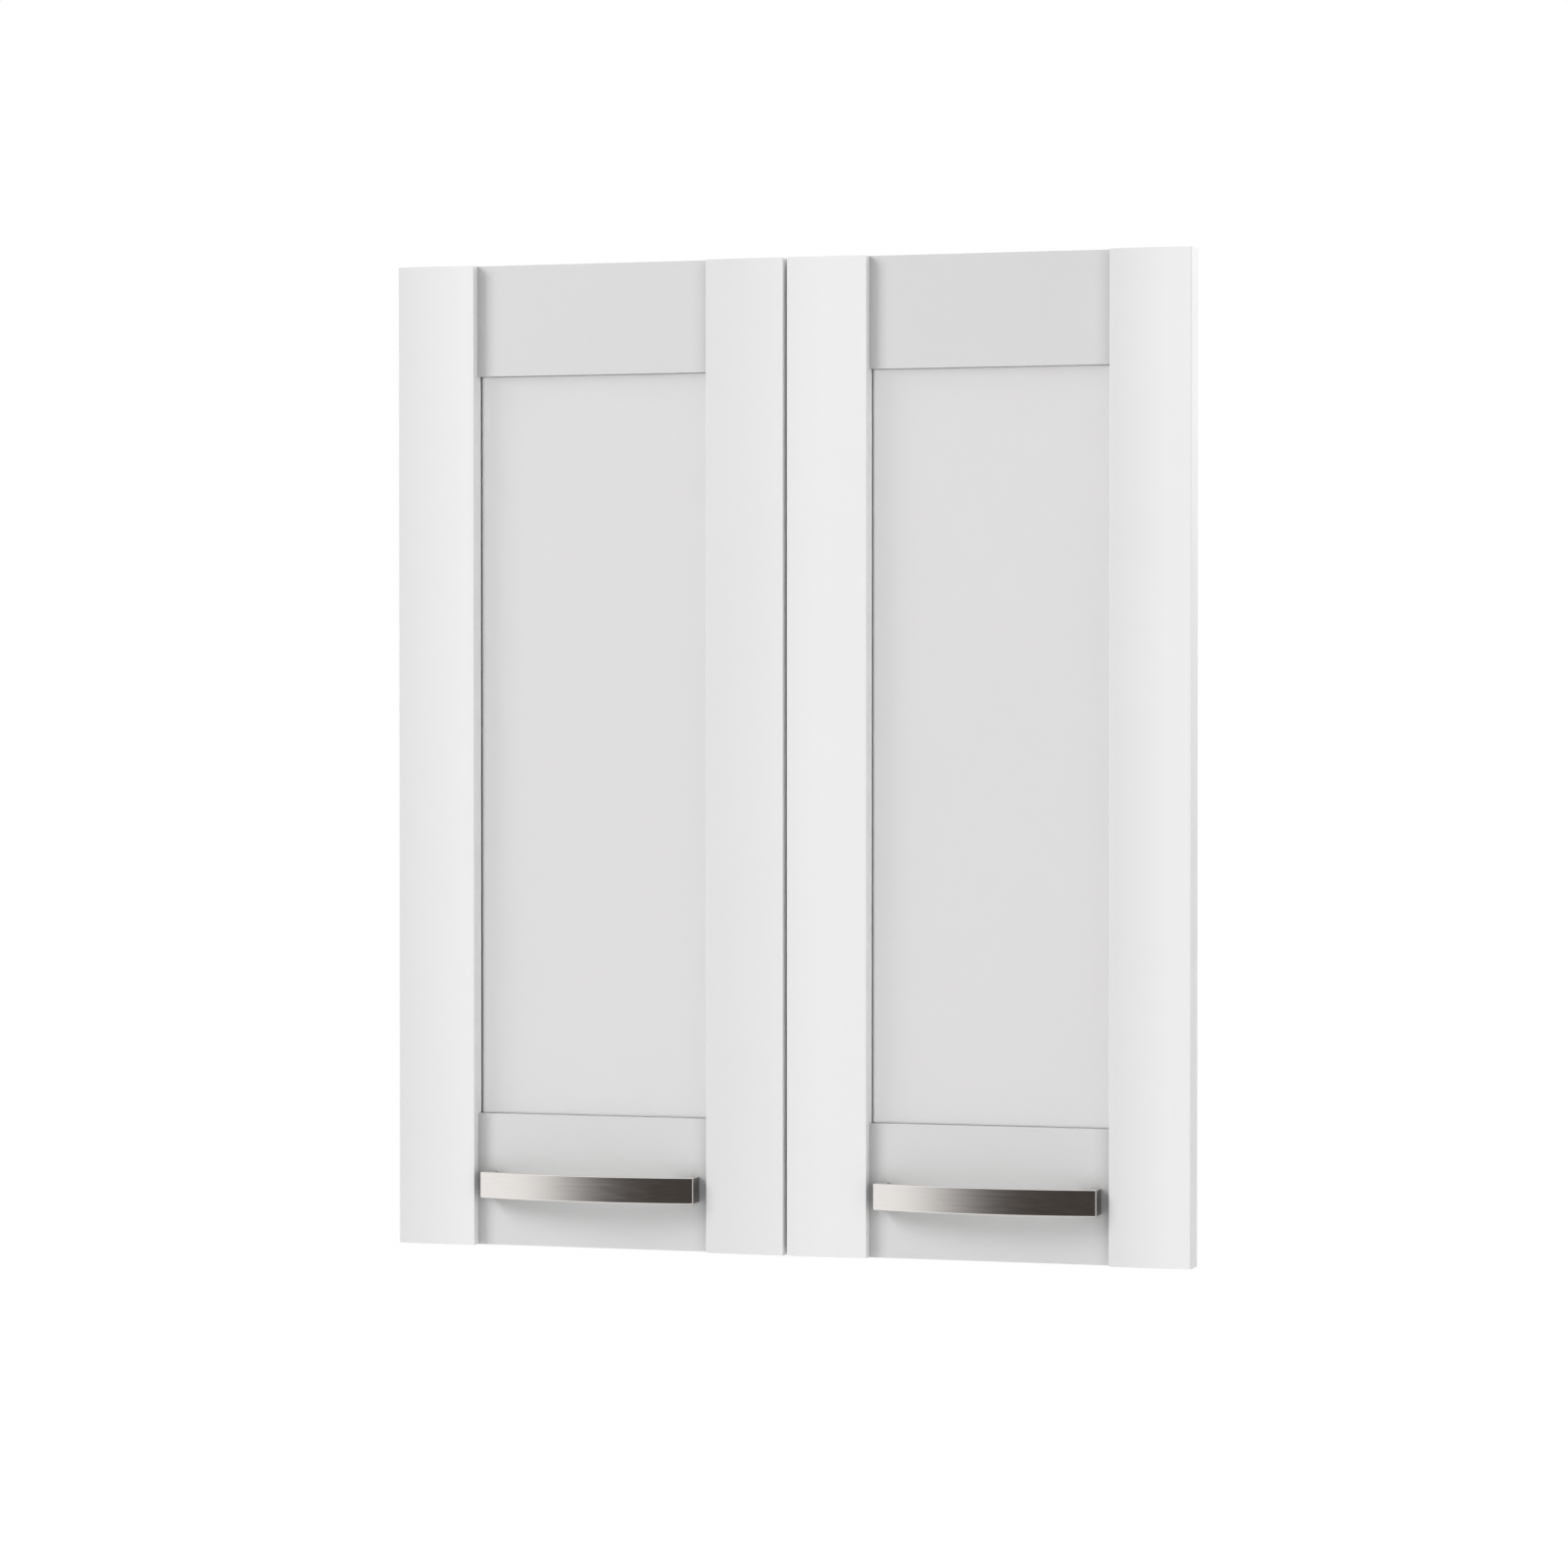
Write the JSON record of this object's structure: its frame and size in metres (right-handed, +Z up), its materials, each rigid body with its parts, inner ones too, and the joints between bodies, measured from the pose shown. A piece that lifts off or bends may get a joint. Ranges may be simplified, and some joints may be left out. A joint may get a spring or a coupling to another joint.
{
  "type": "hanging wall cabinet door pair",
  "caption": "White framed wall-cabinet doors with satin glass panes, recessed rails and bowed steel bar handles, hung on cup hinges with mounting plates.",
  "frame": {"origin": "centre of the bounding box of the whole part, midway between the doors in width and height", "axes": "+X to the right as seen from the room, +Y into the cabinet, +Z up"},
  "size_m": [0.596, 0.0944, 0.716],
  "materials": {
    "stile_white": "white satin lacquer on board",
    "rail_white": "white satin lacquer on board, slightly greyer",
    "satin_glass": "satin etched, opal",
    "gasket_rubber": "matt",
    "bead_plastic": "white extruded",
    "fastener_steel": "zinc plated",
    "dowel_beech": "plain beech",
    "handle_steel": "brushed along the bar",
    "bumper_rubber": "clear grey, soft",
    "hinge_nickel": "nickel plated pressed steel",
    "cap_nickel": "nickel plated cover"
  },
  "bodies": {
    "cabinet_side": {"left_depth_adjusting_screws": "fastener_steel", "left_lower_arm_cap": "cap_nickel", "left_lower_hinge_arm": "hinge_nickel", "left_lower_mounting_plate": "hinge_nickel", "left_side_adjusting_screws": "fastener_steel", "left_upper_arm_cap": "cap_nickel", "left_upper_hinge_arm": "hinge_nickel", "left_upper_mounting_plate": "hinge_nickel", "right_depth_adjusting_screws": "fastener_steel", "right_lower_arm_cap": "cap_nickel", "right_lower_hinge_arm": "hinge_nickel", "right_lower_mounting_plate": "hinge_nickel", "right_side_adjusting_screws": "fastener_steel", "right_upper_arm_cap": "cap_nickel", "right_upper_hinge_arm": "hinge_nickel", "right_upper_mounting_plate": "hinge_nickel"},
    "left_door": {"left_bead_pins": "fastener_steel", "left_bottom_rail": "rail_white", "left_bow_handle": "handle_steel", "left_cup_screws": "fastener_steel", "left_door_bumpers": "bumper_rubber", "left_end_beads": "bead_plastic", "left_frame_dowels": "dowel_beech", "left_glass_pane": "satin_glass", "left_glazing_gasket": "gasket_rubber", "left_handle_screws": "fastener_steel", "left_hinge_pins": "fastener_steel", "left_hinge_stile": "stile_white", "left_lower_hinge_cup": "hinge_nickel", "left_meeting_stile": "stile_white", "left_side_beads": "bead_plastic", "left_top_rail": "rail_white", "left_upper_hinge_cup": "hinge_nickel"},
    "right_door": {"right_bead_pins": "fastener_steel", "right_bottom_rail": "rail_white", "right_bow_handle": "handle_steel", "right_cup_screws": "fastener_steel", "right_door_bumpers": "bumper_rubber", "right_end_beads": "bead_plastic", "right_frame_dowels": "dowel_beech", "right_glass_pane": "satin_glass", "right_glazing_gasket": "gasket_rubber", "right_handle_screws": "fastener_steel", "right_hinge_pins": "fastener_steel", "right_hinge_stile": "stile_white", "right_lower_hinge_cup": "hinge_nickel", "right_meeting_stile": "stile_white", "right_side_beads": "bead_plastic", "right_top_rail": "rail_white", "right_upper_hinge_cup": "hinge_nickel"}
  },
  "joints": [
    {"name": "left_door_swing", "type": "hinge", "parent": "cabinet_side", "child": "left_door", "pos_m": [-0.2881, -0.0179, 0], "axis": [0, 0, -1], "range_deg": [0, 95]},
    {"name": "right_door_swing", "type": "hinge", "parent": "cabinet_side", "child": "right_door", "pos_m": [0.2881, -0.0179, 0], "axis": [0, 0, 1], "range_deg": [0, 95]}
  ]
}
